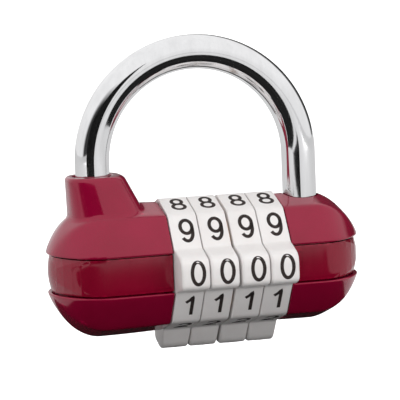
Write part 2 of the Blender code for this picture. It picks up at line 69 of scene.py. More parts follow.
# by side: -1 is the left half of the casing and 1 the right
BULGE = {-1: 0.3, 1: 0.05}
SHOULDER = {-1: 23.6, 1: 17.7}
TIP = {-1: 33.5, 1: 28.0}
# the power of the superellipse that closes each end
END_POWER = 1.85
COVER_WALL = 1.5
BAND_INSET = 0.8
UPPER_EDGE_Z = 3.5
LOWER_EDGE_Z = -3.8
TOWER_TOP_Z = 17.7
HEEL_X = -BOW_R - STACK_X
TOE_X = BOW_R - STACK_X
BOW_CENTRE_Z = -AXIS_Z - BOW_R + ROD_R
HEEL_END_Z = -4.2
TOE_END_Z = 4.4
LEG_HOLE_R = ROD_R + 0.35
NECK_R = 2.2
NECK_LOW_Z = -2.8
NECK_HIGH_Z = 8.1
NOTCH_DEPTH = 0.95
NOTCH_TOP_Z = 6.4
NOTCH_STEP_Z = 4.9
NOTCH_FOOT_Z = 3.4
CAM_SLOPE = 0.2955


def place(x, y, z):
    """A point drawn round the dial axis, in millimetres, in the frame's metres."""
    return Vector(((x + STACK_X) * MM, y * MM, (z + AXIS_Z) * MM))


# ---- camera ----
# the view's turn to the left, rise and roll, and its distance from the dial stack's middle
CAMERA_TURN = math.radians(14.534)
CAMERA_RISE = math.radians(8.5)
CAMERA_ROLL = math.radians(2.238)
CAMERA_AWAY = 430
# the point that the camera aims at, from the dial stack's middle, along the view's own directions
AIM_RIGHT = -3.3401
AIM_UP = 11.3827
SENSOR = 36
LENS = 203.1092
CLIP_NEAR = 0.01
CLIP_FAR = 50


def add_camera():
    """A camera at the photograph's angle, aimed into the bow."""
    towards = Vector((-math.sin(CAMERA_TURN) * math.cos(CAMERA_RISE),
                      -math.cos(CAMERA_TURN) * math.cos(CAMERA_RISE), math.sin(CAMERA_RISE)))
    level = Vector((math.cos(CAMERA_TURN), -math.sin(CAMERA_TURN), 0))
    upright = towards.cross(level)
    right = level * math.cos(CAMERA_ROLL) - upright * math.sin(CAMERA_ROLL)
    up = level * math.sin(CAMERA_ROLL) + upright * math.cos(CAMERA_ROLL)
    ahead = (right * AIM_RIGHT + up * AIM_UP - towards * CAMERA_AWAY).normalized()
    side = (right - ahead * right.dot(ahead)).normalized()
    data = bpy.data.cameras.new("camera")
    data.sensor_width = SENSOR
    data.lens = LENS
    data.clip_start = CLIP_NEAR
    data.clip_end = CLIP_FAR
    camera = bpy.data.objects.new("camera", data)
    bpy.context.scene.collection.objects.link(camera)
    turn = Matrix((side, side.cross(ahead), -ahead)).transposed().to_4x4()
    turn.translation = place(0, 0, 0) + towards * CAMERA_AWAY * MM
    camera.matrix_world = turn
    bpy.context.scene.camera = camera


add_camera()


# ---- materials ----
def node_material(name):
    """A new material with its node tree and its Principled shader."""
    made = bpy.data.materials.new(name)
    made.use_nodes = True
    tree = made.node_tree
    return made, tree, tree.nodes["Principled BSDF"]


def settle(shader, values):
    """Set constant values on the shader's own sockets."""
    for socket, value in values.items():
        shader.inputs[socket].default_value = value


def noise(tree, scale, detail=3.0, stretch=(1, 1, 1)):
    """Noise in object space, in cycles per metre, stretched along the axes."""
    coord = tree.nodes.new("ShaderNodeTexCoord")
    mapping = tree.nodes.new("ShaderNodeMapping")
    mapping.inputs["Scale"].default_value = stretch
    texture = tree.nodes.new("ShaderNodeTexNoise")
    texture.inputs["Scale"].default_value = scale
    texture.inputs["Detail"].default_value = detail
    tree.links.new(coord.outputs["Object"], mapping.inputs["Vector"])
    tree.links.new(mapping.outputs["Vector"], texture.inputs["Vector"])
    return texture.outputs["Fac"]


def ramp(tree, source, stops):
    """A colour ramp over a value, from (position, colour) stops."""
    node = tree.nodes.new("ShaderNodeValToRGB")
    for element in list(node.color_ramp.elements)[1:]:
        node.color_ramp.elements.remove(element)
    node.color_ramp.elements[0].position = stops[0][0]
    node.color_ramp.elements[0].color = (*stops[0][1], 1)
    for position, colour in stops[1:]:
        node.color_ramp.elements.new(position).color = (*colour, 1)
    tree.links.new(source, node.inputs["Fac"])
    return node.outputs["Color"]


def span(tree, source, low, high, from_low=0.3, from_high=0.7):
    """A value mapped from one range to another."""
    node = tree.nodes.new("ShaderNodeMapRange")
    node.inputs["From Min"].default_value = from_low
    node.inputs["From Max"].default_value = from_high
    node.inputs["To Min"].default_value = low
    node.inputs["To Max"].default_value = high
    tree.links.new(source, node.inputs["Value"])
    return node.outputs["Result"]


def bump(tree, shader, source, distance, strength=1.0):
    """Bump on the shader from a height value."""
    node = tree.nodes.new("ShaderNodeBump")
    node.inputs["Distance"].default_value = distance
    node.inputs["Strength"].default_value = strength
    tree.links.new(source, node.inputs["Height"])
    tree.links.new(node.outputs["Normal"], shader.inputs["Normal"])


def worn(tree, colour, edge_colour, low=0.53, high=0.62):
    """A colour that turns to another along convex edges, broken up by noise."""
    geometry = tree.nodes.new("ShaderNodeNewGeometry")
    edge = span(tree, geometry.outputs["Pointiness"], 0.0, 1.0, low, high)
    patches = span(tree, noise(tree, scale=900, detail=4), low=0.0, high=1.0, from_low=0.45, from_high=0.65)
    amount = tree.nodes.new("ShaderNodeMath")
    amount.operation = "MULTIPLY"
    tree.links.new(edge, amount.inputs[0])
    tree.links.new(patches, amount.inputs[1])
    mix = tree.nodes.new("ShaderNodeMix")
    mix.data_type = "RGBA"
    tree.links.new(amount.outputs["Value"], mix.inputs["Factor"])
    tree.links.new(colour, mix.inputs["A"])
    mix.inputs["B"].default_value = (*edge_colour, 1)
    return mix.outputs["Result"]


WEAR_LIGHTER = 2.2


def lacquer(name, deep, bright):
    """Glossy lacquer over a die casting: faint colour drift, orange peel and worn edges."""
    made, tree, shader = node_material(name)
    drift = noise(tree, scale=120, detail=4)
    colour = ramp(tree, drift, [(0.3, deep), (0.7, bright)])
    edge_colour = [min(1, WEAR_LIGHTER * part) for part in bright]
    tree.links.new(worn(tree, colour, edge_colour), shader.inputs["Base Color"])
    roughness = span(tree, noise(tree, scale=700, detail=5), low=0.13, high=0.22)
    tree.links.new(roughness, shader.inputs["Roughness"])
    settle(shader, {"Metallic": 0.25, "Specular IOR Level": 0.1,
                    "Coat Weight": 0.4, "Coat Roughness": 0.08, "Coat IOR": 1.8})
    bump(tree, shader, noise(tree, scale=2200, detail=2), distance=0.000012, strength=0.35)
    return made


def plastic(name, light, shade, crease_painted_shade):
    """Satin moulded plastic with a faint grain, and painted shade that darkens it in its creases."""
    made, tree, shader = node_material(name)
    colour = ramp(tree, noise(tree, scale=260, detail=4), [(0.3, shade), (0.7, light)])
    # painted shade: the colour turns to a darker brownish one where the surface is hollow, in its creases
    geometry = tree.nodes.new("ShaderNodeNewGeometry")
    crease_shade_mask = span(tree, geometry.outputs["Pointiness"], low=1.0, high=0.0, from_low=0.40, from_high=0.48)
    mix = tree.nodes.new("ShaderNodeMix")
    mix.data_type = "RGBA"
    tree.links.new(crease_shade_mask, mix.inputs["Factor"])
    tree.links.new(colour, mix.inputs["A"])
    mix.inputs["B"].default_value = (*crease_painted_shade, 1)
    tree.links.new(mix.outputs["Result"], shader.inputs["Base Color"])
    roughness = span(tree, noise(tree, scale=1500, detail=3), low=0.32, high=0.46)
    tree.links.new(roughness, shader.inputs["Roughness"])
    settle(shader, {"Subsurface Weight": 0.08, "Subsurface Radius": (0.0012, 0.0009, 0.0008)})
    bump(tree, shader, noise(tree, scale=5000, detail=3), distance=0.00001, strength=0.3)
    return made


def ink(name):
    """Printed digits: dark brown-grey, a little uneven."""
    made, tree, shader = node_material(name)
    blotches = noise(tree, scale=2500, detail=4)
    colour = ramp(tree, blotches, [(0.3, (0.020, 0.014, 0.013)), (0.7, (0.045, 0.034, 0.032))])
    tree.links.new(colour, shader.inputs["Base Color"])
    roughness = span(tree, noise(tree, scale=3000, detail=3), low=0.6, high=0.75)
    tree.links.new(roughness, shader.inputs["Roughness"])
    settle(shader, {"Specular IOR Level": 0.2})
    bump(tree, shader, noise(tree, scale=6000, detail=3), distance=0.00001, strength=0.4)
    return made


def metal(name, dark, light, rough, stretch=(1, 1, 1), scale=900, height=0.000006):
    """Bare or plated metal with drawn or turned marks along one axis, and roughness in a range."""
    made, tree, shader = node_material(name)
    marks = noise(tree, scale, detail=6, stretch=stretch)
    colour = ramp(tree, marks, [(0.3, dark), (0.7, light)])
    tree.links.new(colour, shader.inputs["Base Color"])
    settle(shader, {"Metallic": 1.0})
    roughness = span(tree, noise(tree, scale / 4, detail=4, stretch=stretch), *rough)
    tree.links.new(roughness, shader.inputs["Roughness"])
    bump(tree, shader, marks, height, strength=0.3)
    return made


LACQUER = lacquer("lacquer_red", deep=(0.25, 0.001, 0.026), bright=(0.29, 0.002, 0.033))
BAND_LACQUER = lacquer("lacquer_band", deep=(0.22, 0.001, 0.017), bright=(0.25, 0.001, 0.021))
# each plastic's last colour is painted shade for its creases
DIAL_PLASTIC = plastic("plastic_dial", light=(0.80, 0.775, 0.765), shade=(0.76, 0.73, 0.72),
                       crease_painted_shade=(0.55, 0.42, 0.38))
ACETAL = plastic("plastic_acetal", light=(0.62, 0.44, 0.33), shade=(0.55, 0.38, 0.28),
                 crease_painted_shade=(0.35, 0.22, 0.16))
DIGIT_INK = ink("ink_digits")
CHROME = metal("metal_chrome", (0.80, 0.80, 0.81), (0.88, 0.88, 0.89), rough=(0.04, 0.09),
               stretch=(1, 1, 0.15), scale=700, height=0.000002)
STEEL = metal("metal_steel", (0.42, 0.42, 0.43), (0.60, 0.60, 0.61), rough=(0.24, 0.38), stretch=(0.1, 1, 1))
SPRING_STEEL = metal("metal_spring", (0.32, 0.32, 0.34), (0.48, 0.48, 0.50), rough=(0.28, 0.42))
BRASS = metal("metal_brass", (0.55, 0.38, 0.14), (0.78, 0.58, 0.26), rough=(0.22, 0.36), stretch=(0.1, 1, 1))


def paint(obj, made):
    """Give an object one material."""
    obj.data.materials.clear()
    obj.data.materials.append(made)


# the material of each of the record's slots, for the CAD nodes that stay in view
SLOT_PAINT = {"red_lacquer": LACQUER, "red_band": BAND_LACQUER, "dial_white": DIAL_PLASTIC,
              "chrome": CHROME, "steel": STEEL, "spring_steel": SPRING_STEEL, "brass": BRASS,
              "acetal": ACETAL}
for row in frame["record"]["subparts"]:
    paint(frame["nodes"][row["node"]], SLOT_PAINT[row["material_slot"]])


# ---- mesh helpers ----
PIECE_EDGE_ANGLE = 40
COVER_EDGE_ANGLE = 38
ROD_EDGE_ANGLE = 35
WELD = 1e-7
FINE_WELD = 1e-9


def smooth(obj, angle):
    """Smooth shading, with edges sharp above an angle in degrees."""
    obj.data.shade_smooth()
    obj.data.set_sharp_from_angle(angle=math.radians(angle))


def finish_piece(name, bm, made, body, nodes=(), weld=WELD):
    """A shown piece from a bmesh in the frame's metres, welded, smooth and riding on its body."""
    bmesh.ops.remove_doubles(bm, verts=bm.verts, dist=weld)
    bmesh.ops.dissolve_degenerate(bm, edges=bm.edges, dist=weld)
    bmesh.ops.recalc_face_normals(bm, faces=bm.faces)
    mesh = bpy.data.meshes.new(name)
    bm.to_mesh(mesh)
    bm.free()
    obj = bpy.data.objects.new(name, mesh)
    bpy.context.scene.collection.objects.link(obj)
    smooth(obj, PIECE_EDGE_ANGLE)
    paint(obj, made)
    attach(obj, body)
    if nodes:
        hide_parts(*nodes)
    return obj


def add_grid(bm, rows, close=False):
    """Quads over rows of equally many points; close joins each row's end to its start."""
    made = [[bm.verts.new(point) for point in row] for row in rows]
    count = len(made[0])
    for low, high in zip(made, made[1:]):
        for i in range(count if close else count - 1):
            j = (i + 1) % count
            bm.faces.new((low[i], low[j], high[j], high[i]))
    return made


def boolean(obj, bm, operation, name):
    """Cut from or join to an object another closed body, and keep the result as its mesh."""
    bmesh.ops.recalc_face_normals(bm, faces=bm.faces)
    mesh = bpy.data.meshes.new(name)
    bm.to_mesh(mesh)
    bm.free()
    tool = bpy.data.objects.new(name, mesh)
    bpy.context.scene.collection.objects.link(tool)
    step = obj.modifiers.new(name, "BOOLEAN")
    step.operation = operation
    step.solver = "EXACT"
    step.object = tool
    bpy.context.view_layer.update()
    found = obj.evaluated_get(bpy.context.evaluated_depsgraph_get())
    result = bpy.data.meshes.new_from_object(found)
    obj.modifiers.clear()
    old = obj.data
    obj.data = result
    bpy.data.meshes.remove(old)
    bpy.data.objects.remove(tool, do_unlink=True)


# ---- casing surface ----
# the flats of the section: the turn of each one's normal in degrees, and its distance over the apothem
SECTION_FLATS = [(0, 1), (36, 1), (75.6, 0.972), (104.4, 0.972), (144, 1), (180, 1),
                 (216, 1), (252, 1), (288, 1), (324, 1)]
BARREL_SHARPNESS = 75
TIP_SHARPNESS = 14
MELT_STATIONS = 0.6
FACING_LEAST = 0.2
HALVINGS = 50


def sharpness(station):
    """How crisp the section's corners are at a station: they melt away over the rounded end."""
    share = min(1.0, max(0.0, (station - 1) / MELT_STATIONS))
    return BARREL_SHARPNESS + (TIP_SHARPNESS - BARREL_SHARPNESS) * share * share * (3 - 2 * share)


def section_radius(turn, station):
    """The section's radius over the apothem at a turn up from the front: flats with rounded corners."""
    crisp = sharpness(station)
    total = 0.0
    for normal, distance in SECTION_FLATS:
        c = math.cos(turn - math.radians(normal))
        if c > FACING_LEAST:
            total += (c / distance) ** crisp
    return total ** (-1 / crisp)


def apothem_at(side, station, inset):
    """The section's x and apothem at a station: up to 1 along the barrel, then 1 more to the tip."""
    shoulder = SHOULDER[side]
    if station <= 1:
        x = RIM_X + (shoulder - RIM_X) * station
        return x, CASING_APOTHEM + BULGE[side] * math.sin(station * math.pi / 2) - inset
    turn = (station - 1) * math.pi / 2
    x = shoulder + (TIP[side] - inset - shoulder) * math.sin(turn) ** (2 / END_POWER)
    return x, (CASING_APOTHEM + BULGE[side] - inset) * math.cos(turn) ** (2 / END_POWER)


def edge_turn(apothem, z, station):
    """The turn at which a section of that apothem crosses a height, from the front, towards its ridge."""
    ridge = math.pi / 2 if z > 0 else -math.pi / 2
    low, high = 0.0, ridge
    for _ in range(HALVINGS):
        middle = (low + high) / 2
        if abs(apothem * section_radius(middle, station) * math.sin(middle)) < abs(z):
            low = middle
        else:
            high = middle
    return (low + high) / 2


BARREL_STATIONS = 10
END_STATIONS = 34
RIM_ROLL = 0.25
ROLL_STEPS = 4
EDGE_ROLL = 0.3


def last_station(inset, side, z):
    """The station at which the section's ridge comes down to a height."""
    ridge = math.pi / 2 if z > 0 else -math.pi / 2
    low, high = 1.0, 2.0
    for _ in range(HALVINGS):
        station = (low + high) / 2
        if apothem_at(side, station, inset)[1] * section_radius(ridge, station) > abs(z):
            low = station
        else:
            high = station
    return (low + high) / 2


def stations(inset, side, z):
    """Stations from the rim to the place where the ridge meets a height, closer together near it."""
    last = last_station(inset, side, z)
    run = [i / BARREL_STATIONS for i in range(BARREL_STATIONS)]
    return run + [1 + (last - 1) * math.sin(math.pi / 2 * i / END_STATIONS) for i in range(END_STATIONS + 1)]


def rim_rows(inset):
    """How far the first rows lie inside the surface and beyond the rim, round the rim's edge."""
    rows = []
    for i in range(ROLL_STEPS):
        angle = math.pi / 2 * i / ROLL_STEPS
        rows.append((inset + RIM_ROLL * (1 - math.sin(angle)), RIM_ROLL * (1 - math.cos(angle))))
    return rows


def edge_curve(side, z, inset, with_rim):
    """Points from the rim to the tip where a form of that inset meets a height, on the front."""
    curve = []
    levels = stations(inset, side, z)
    if with_rim:
        for deeper, x_shift in rim_rows(inset):
            x, apothem = apothem_at(side, 0, deeper)
            turn = edge_turn(apothem, z, 0)
            radius = apothem * section_radius(turn, 0)
            curve.append((x + x_shift, radius * math.cos(turn), z))
        levels = [RIM_ROLL / (SHOULDER[side] - RIM_X)] + levels[1:]
    for station in levels:
        x, apothem = apothem_at(side, station, inset)
        if station == levels[-1]:
            curve.append((x, 0.0, z))
        else:
            turn = edge_turn(apothem, z, station)
            curve.append((x, apothem * section_radius(turn, station) * math.cos(turn), z))
    return curve


COLUMN_STEPS = 120
COLUMN_TURNS = [math.pi * i / COLUMN_STEPS for i in range(COLUMN_STEPS + 1)]


def cover_grid(side, z, edge_z, inset):
    """Rows of points, from the rim to the tip, over a cover's surface from edge to edge at a height."""
    sign = 1 if edge_z > 0 else -1
    rows = []

    def row(x, apothem, low, station):
        points = []
        for turn in COLUMN_TURNS:
            clamped = sign * min(max(turn, abs(low)), math.pi - abs(low))
            radius = apothem * section_radius(clamped, station)
            points.append((x, radius * math.cos(clamped), radius * math.sin(clamped)))
        rows.append(points)

    for deeper, x_shift in rim_rows(inset):
        x, apothem = apothem_at(side, 0, deeper)
        row(x + x_shift, apothem, edge_turn(apothem, z, 0), 0)
    levels = [RIM_ROLL / (SHOULDER[side] - RIM_X)] + stations(inset, side, z)[1:]
    for station in levels:
        x, apothem = apothem_at(side, station, inset)
        low = math.pi / 2 if station == levels[-1] else edge_turn(apothem, z, station)
        row(x, apothem, low, station)
    return rows


def to_frame(side, point):
    """A surface point with its front part given as positive, in the frame's metres."""
    x, front, z = point
    return place(side * x, -front, z)


def cover_mesh(side, edge_z):
    """A closed cover shell: outer skin with rolled edges, lip and inner skin."""
    sign = 1 if edge_z > 0 else -1
    bm = bmesh.new()
    outer = cover_grid(side, edge_z + sign * EDGE_ROLL, edge_z, 0.0)
    inner = cover_grid(side, edge_z, edge_z, COVER_WALL)
    add_grid(bm, [[to_frame(side, p) for p in row] for row in outer])
    add_grid(bm, [[to_frame(side, p) for p in row] for row in inner])
    curves = []
    for i in range(ROLL_STEPS + 1):
        angle = math.pi / 2 * i / ROLL_STEPS
        rise = EDGE_ROLL * (1 - math.sin(angle))
        inset = EDGE_ROLL * (1 - math.cos(angle))
        curves.append(edge_curve(side, edge_z + sign * rise, inset, True))
    curves.append(edge_curve(side, edge_z, COVER_WALL, True))
    for mirror in (1, -1):
        add_grid(bm, [[to_frame(side, (x, mirror * y, z)) for x, y, z in curve] for curve in curves])
    add_grid(bm, [[to_frame(side, p) for p in row] for row in (outer[0], inner[0])])
    for mirror in (1, -1):
        corner = [to_frame(side, (curve[0][0], mirror * curve[0][1], curve[0][2])) for curve in curves]
        bm.faces.new([bm.verts.new(point) for point in corner])
    return bm


# ---- tower round the heel leg ----
TOWER_POWER = 0.72
TOWER_FOOT_Z = 9.4
TOWER_FILLET = 0.7
TOWER_SIDES = 96
TOWER_ROLL = 0.75
TOWER_ROLL_STEPS = 6
TOWER_WALL_STEPS = 5
TOWER_FILLET_STEPS = 8
# the outline's left, right and half depth at the top, and how much each grows down to the foot
TOWER_TOP = (-28.6, -17.9, 5.3)
TOWER_SPREAD = (0.3, 4.2, 2.3)
# rounds in which each column's foot settles onto the cover's skin
FOOT_SETTLES = 12
SMALL_TURN = 0.01
LEAST_WALL = 0.5
# how far the fillet's end sinks below the skin, and how its root runs in and down from there
FOOT_SINK = 0.02
ROOT_IN = 0.3
ROOT_DOWN = 0.7
ROOT_DEEPER = 0.5
# above any point of the skin
SKIN_CEILING = 15.0


def skin_height(side, x, y):
    """The height of the casing's top surface over a point."""
    low, high = 1.0, 2.0
    for _ in range(HALVINGS):
        station = (low + high) / 2
        if apothem_at(side, station, 0.0)[0] < abs(x):
            low = station
        else:
            high = station
    station = (low + high) / 2
    if abs(x) <= SHOULDER[side]:
        station = (abs(x) - RIM_X) / (SHOULDER[side] - RIM_X)
    apothem = apothem_at(side, station, 0.0)[1]
    low, high = 0.0, SKIN_CEILING
    for _ in range(HALVINGS):
        z = (low + high) / 2
        if math.hypot(y, z) < apothem * section_radius(math.atan2(z, abs(y)), station):
            low = z
        else:
            high = z
    return (low + high) / 2


def tower_point(angle, z, round_off=0.0):
    """A point of the tower's outline at a height."""
    share = (TOWER_TOP_Z - z) / (TOWER_TOP_Z - TOWER_FOOT_Z)
    left, right, half_depth = [top + spread * share for top, spread in zip(TOWER_TOP, TOWER_SPREAD)]
    left += round_off
    right -= round_off
    half_depth -= round_off
    c, s = math.cos(angle), math.sin(angle)
    x = math.copysign(abs(c) ** TOWER_POWER, c) * (right - left) / 2 + (left + right) / 2
    y = math.copysign(abs(s) ** TOWER_POWER, s) * half_depth
    return x, y


def tower_column(angle):
    """Points down the tower's side at a turn: rolled top edge, wall, fillet and root inside the cover."""
    column = []
    for k in range(TOWER_ROLL_STEPS + 1):
        roll = math.pi / 2 * k / TOWER_ROLL_STEPS
        z = TOWER_TOP_Z - TOWER_ROLL * (1 - math.cos(roll))
        x, y = tower_point(angle, z, TOWER_ROLL * (1 - math.sin(roll)))
        column.append((x, y, z))
    base_z = TOWER_FOOT_Z
    for _ in range(FOOT_SETTLES):
        x, y = tower_point(angle, base_z)
        base_z = skin_height(-1, x, y)
    x0, y0 = tower_point(angle, base_z)
    after = tower_point(angle + SMALL_TURN, base_z)
    before = tower_point(angle - SMALL_TURN, base_z)
    along = Vector((after[0] - before[0], after[1] - before[1])).normalized()
    out = Vector((along.y, -along.x))
    high_z = TOWER_TOP_Z - TOWER_ROLL
    start_z = min(base_z + TOWER_FILLET, high_z - LEAST_WALL)
    for k in range(1, TOWER_WALL_STEPS):
        z = high_z + (start_z - high_z) * k / TOWER_WALL_STEPS
        x, y = tower_point(angle, z)
        column.append((x, y, z))
    start = Vector((*tower_point(angle, start_z), start_z))
    middle = Vector((x0, y0, base_z))
    foot = Vector((x0 + out.x * TOWER_FILLET, y0 + out.y * TOWER_FILLET, 0))
    foot.z = skin_height(-1, foot.x, foot.y) - FOOT_SINK
    for k in range(TOWER_FILLET_STEPS + 1):
        t = k / TOWER_FILLET_STEPS
        column.append(tuple(start * (1 - t) ** 2 + middle * (2 * t * (1 - t)) + foot * t ** 2))
    column.append((foot.x - out.x * ROOT_IN, foot.y - out.y * ROOT_IN, foot.z - ROOT_DOWN))
    return column


def tower_mesh():
    """The tower as a closed solid whose foot flares onto the cover and sinks into its wall."""
    columns = [tower_column(2 * math.pi * (i + 0.5) / TOWER_SIDES) for i in range(TOWER_SIDES)]
    bm = bmesh.new()
    rows = [[place(*column[k]) for column in columns] for k in range(len(columns[0]))]
    made = add_grid(bm, rows, close=True)
    bm.faces.new(made[0])
    middle = [sum(p[axis] for p in rows[-1]) / TOWER_SIDES for axis in range(3)]
    middle[2] -= ROOT_DEEPER * MM
    centre = bm.verts.new(middle)
    for i in range(TOWER_SIDES):
        bm.faces.new((made[-1][i], made[-1][(i + 1) % TOWER_SIDES], centre))
    return bm


LATHE_SIDES = 64
MOUTH_STEPS = 6
MOUTH_ROLL = 0.35
HEEL_HOLE_LOW_Z = 3
TOE_HOLE_LOW_Z = 5
CUT_ABOVE = 2


def lathe(profile, x):
    """A closed turned solid about the vertical at an x; profile is (radius, z) from bottom to top."""
    bm = bmesh.new()
    turns = [2 * math.pi * i / LATHE_SIDES for i in range(LATHE_SIDES)]
    rows = []
    for radius, z in profile:
        rows.append([place(x + radius * math.cos(turn), radius * math.sin(turn), z) for turn in turns])
    made = add_grid(bm, rows, close=True)
    bm.faces.new(made[0])
    bm.faces.new(made[-1])
    return bm


def mouth_profile(radius, low, mouth, roll, top):
    """A hole's cutter that widens with a rounded lip at its mouth."""
    profile = [(radius, low)]
    for k in range(MOUTH_STEPS + 1):
        angle = math.pi / 2 * k / MOUTH_STEPS
        profile.append((radius + roll * (1 - math.cos(angle)), mouth - roll + roll * math.sin(angle)))
    profile.append((radius + roll, top))
    return profile


def cover(name, side, edge_z, node):
    """One cover in the casing's red lacquer, standing for its CAD node."""
    return finish_piece(name, cover_mesh(side, edge_z), LACQUER, "casing", [node])


def casing():
    """The four covers and the two bands between them."""
    cut_top = TOWER_TOP_Z + CUT_ABOVE
    upper = cover("left_cover_upper", -1, UPPER_EDGE_Z, "left_upper_cover")
    boolean(upper, tower_mesh(), "UNION", "tower_tool")
    profile = mouth_profile(LEG_HOLE_R, HEEL_HOLE_LOW_Z, TOWER_TOP_Z, MOUTH_ROLL, cut_top)
    boolean(upper, lathe(profile, HEEL_X), "DIFFERENCE", "heel_hole_tool")
    smooth(upper, COVER_EDGE_ANGLE)
    cover("left_cover_lower", -1, LOWER_EDGE_Z, "left_lower_cover")
    upper = cover("right_cover_upper", 1, UPPER_EDGE_Z, "right_upper_cover")
    profile = [(LEG_HOLE_R, TOE_HOLE_LOW_Z), (LEG_HOLE_R, cut_top)]
    boolean(upper, lathe(profile, TOE_X), "DIFFERENCE", "toe_hole_tool")
    smooth(upper, COVER_EDGE_ANGLE)
    cover("right_cover_lower", 1, LOWER_EDGE_Z, "right_lower_cover")
    for name, side in (("left_band", -1), ("right_band", 1)):
        finish_piece(name, band_mesh(side), BAND_LACQUER, "casing")


BAND_EDGE_GAP = 0.3
BAND_LOW_Z = LOWER_EDGE_Z + BAND_EDGE_GAP
BAND_HIGH_Z = UPPER_EDGE_Z - BAND_EDGE_GAP
BAND_DEPTH = 0.6
BAND_LEVELS = 18
# edge_turn can't tell which way to look at a height of nothing
LEAST_HEIGHT = 0.01


def band_mesh(side):
    """The smooth belt that stands just proud of the housing's band, as a closed ring section."""
    bm = bmesh.new()
    heights = [BAND_LOW_Z + (BAND_HIGH_Z - BAND_LOW_Z) * i / BAND_LEVELS for i in range(BAND_LEVELS + 1)]
    heights = [z if abs(z) > LEAST_HEIGHT else LEAST_HEIGHT for z in heights]
    loops = [(z, BAND_INSET) for z in heights] + [(z, BAND_INSET + BAND_DEPTH) for z in reversed(heights)]
    loops.append(loops[0])
    rows = []
    for z, inset in loops:
        front = edge_curve(side, z, inset, False)
        back = [(x, -y, z_) for x, y, z_ in reversed(front[:-1])]
        rows.append([to_frame(side, p) for p in front + back])
    add_grid(bm, rows)
    for end in (0, -1):
        bm.faces.new([bm.verts.new(row[end]) for row in rows[:-1]])
    return bm


casing()


# ---- dials ----
def turned_points(points, angle):
    """(radius, along the rim) points about a direction, as (front, up)."""
    c, s = math.cos(angle), math.sin(angle)
    return [(r * c - t * s, r * s + t * c) for r, t in points]


# a lever's outline as (radius, along the rim), with its steep flank first
LEVER_POINTS = [(DIAL_APOTHEM + 0.1, -3.7), (LEVER_R - 1.2, -3.0), (LEVER_R - 0.15, -2.3), (LEVER_R, -1.2),
                (LEVER_R, 1.2), (LEVER_R - 0.35, 2.45), (LEVER_R - 1.5, 3.25), (LEVER_R - 4.4, 3.95),
                (DIAL_APOTHEM - 0.2, 4.18)]


def dial_corners():
    """The decagon with a lever at digit 0 and one at digit 3."""
    corner_r = DIAL_APOTHEM / math.cos(FACE_ANGLE / 2)
    points = []
    for face in range(FACES):
        if face in LEVER_FACES:
            points += turned_points(LEVER_POINTS, face * FACE_ANGLE)
        elif (face + 1) % FACES not in LEVER_FACES:
            angle = (face + 0.5) * FACE_ANGLE
            points.append((corner_r * math.cos(angle), corner_r * math.sin(angle)))
    return points


ROUNDING = 0.9
MOST_OF_SIDE = 0.48
ROUND_STEPS = 6
OUTLINE_STEP = 0.5


def rounded_outline():
    """The dial's outline with its corners rounded, as closely spaced points."""
    corners = [Vector(p) for p in dial_corners()]
    count = len(corners)
    sparse = []
    for i, corner in enumerate(corners):
        before, after = corners[i - 1] - corner, corners[(i + 1) % count] - corner
        cut = min(ROUNDING, MOST_OF_SIDE * before.length, MOST_OF_SIDE * after.length)
        start, end = corner + before.normalized() * cut, corner + after.normalized() * cut
        for k in range(ROUND_STEPS + 1):
            t = k / ROUND_STEPS
            sparse.append(start * (1 - t) ** 2 + corner * (2 * t * (1 - t)) + end * t ** 2)
    dense = []
    for i, point in enumerate(sparse):
        step = sparse[(i + 1) % len(sparse)] - point
        pieces = max(1, round(step.length / OUTLINE_STEP))
        dense += [point + step * k / pieces for k in range(pieces)]
    return dense


OUTLINE = rounded_outline()


def outline_normals():
    """The outward direction at each outline point."""
    count = len(OUTLINE)
    normals = []
    for i in range(count):
        along = (OUTLINE[(i + 1) % count] - OUTLINE[i - 1]).normalized()
        normals.append(Vector((along.y, -along.x)))
    return normals


NORMALS = outline_normals()
SIDE_ROLL = 0.16
LEVER_ROLL = 0.55
LEVER_ROLL_FROM_R = 13.0
LEVER_ROLL_OVER = 2.5
SIDE_STEPS = 5


def dial_point(x, point):
    """(front, up) at a place along the dial axis, in the frame's metres."""
    return place(x, -point[0], point[1])


def dial_mesh(centre):
    """One dial: rounded outline, side edges rolled more at the levers' tips, and its bore."""
    bm = bmesh.new()
    rolls = []
    for point in OUTLINE:
        share = min(1.0, max(0.0, (point.length - LEVER_ROLL_FROM_R) / LEVER_ROLL_OVER))
        rolls.append(SIDE_ROLL + (LEVER_ROLL - SIDE_ROLL) * share)
    rows = []
    half = DIAL_WIDTH / 2
    for side in (-1, 1):
        steps = []
        for k in range(SIDE_STEPS + 1):
            angle = math.pi / 2 * k / SIDE_STEPS
            row = []
            for point, normal, roll in zip(OUTLINE, NORMALS, rolls):
                moved = point - normal * roll * (1 - math.sin(angle))
                row.append(dial_point(centre + side * (half - roll * (1 - math.cos(angle))), moved))
            steps.append(row)
        rows += steps if side < 0 else steps[::-1]
    bores = []
    for side in (-1, 1):
        x = centre + side * half
        bores.append([dial_point(x, point.normalized() * DIAL_BORE_R) for point in OUTLINE])
    rows = [bores[0]] + rows + [bores[1], bores[0]]
    add_grid(bm, rows, close=True)
    return bm


# ---- digits ----
def arc(cx, cy, rx, ry, start, end, steps=14):
    """Points along an elliptic arc, in degrees."""
    return [(cx + rx * math.cos(math.radians(start + (end - start) * i / steps)),
             cy + ry * math.sin(math.radians(start + (end - start) * i / steps))) for i in range(steps + 1)]


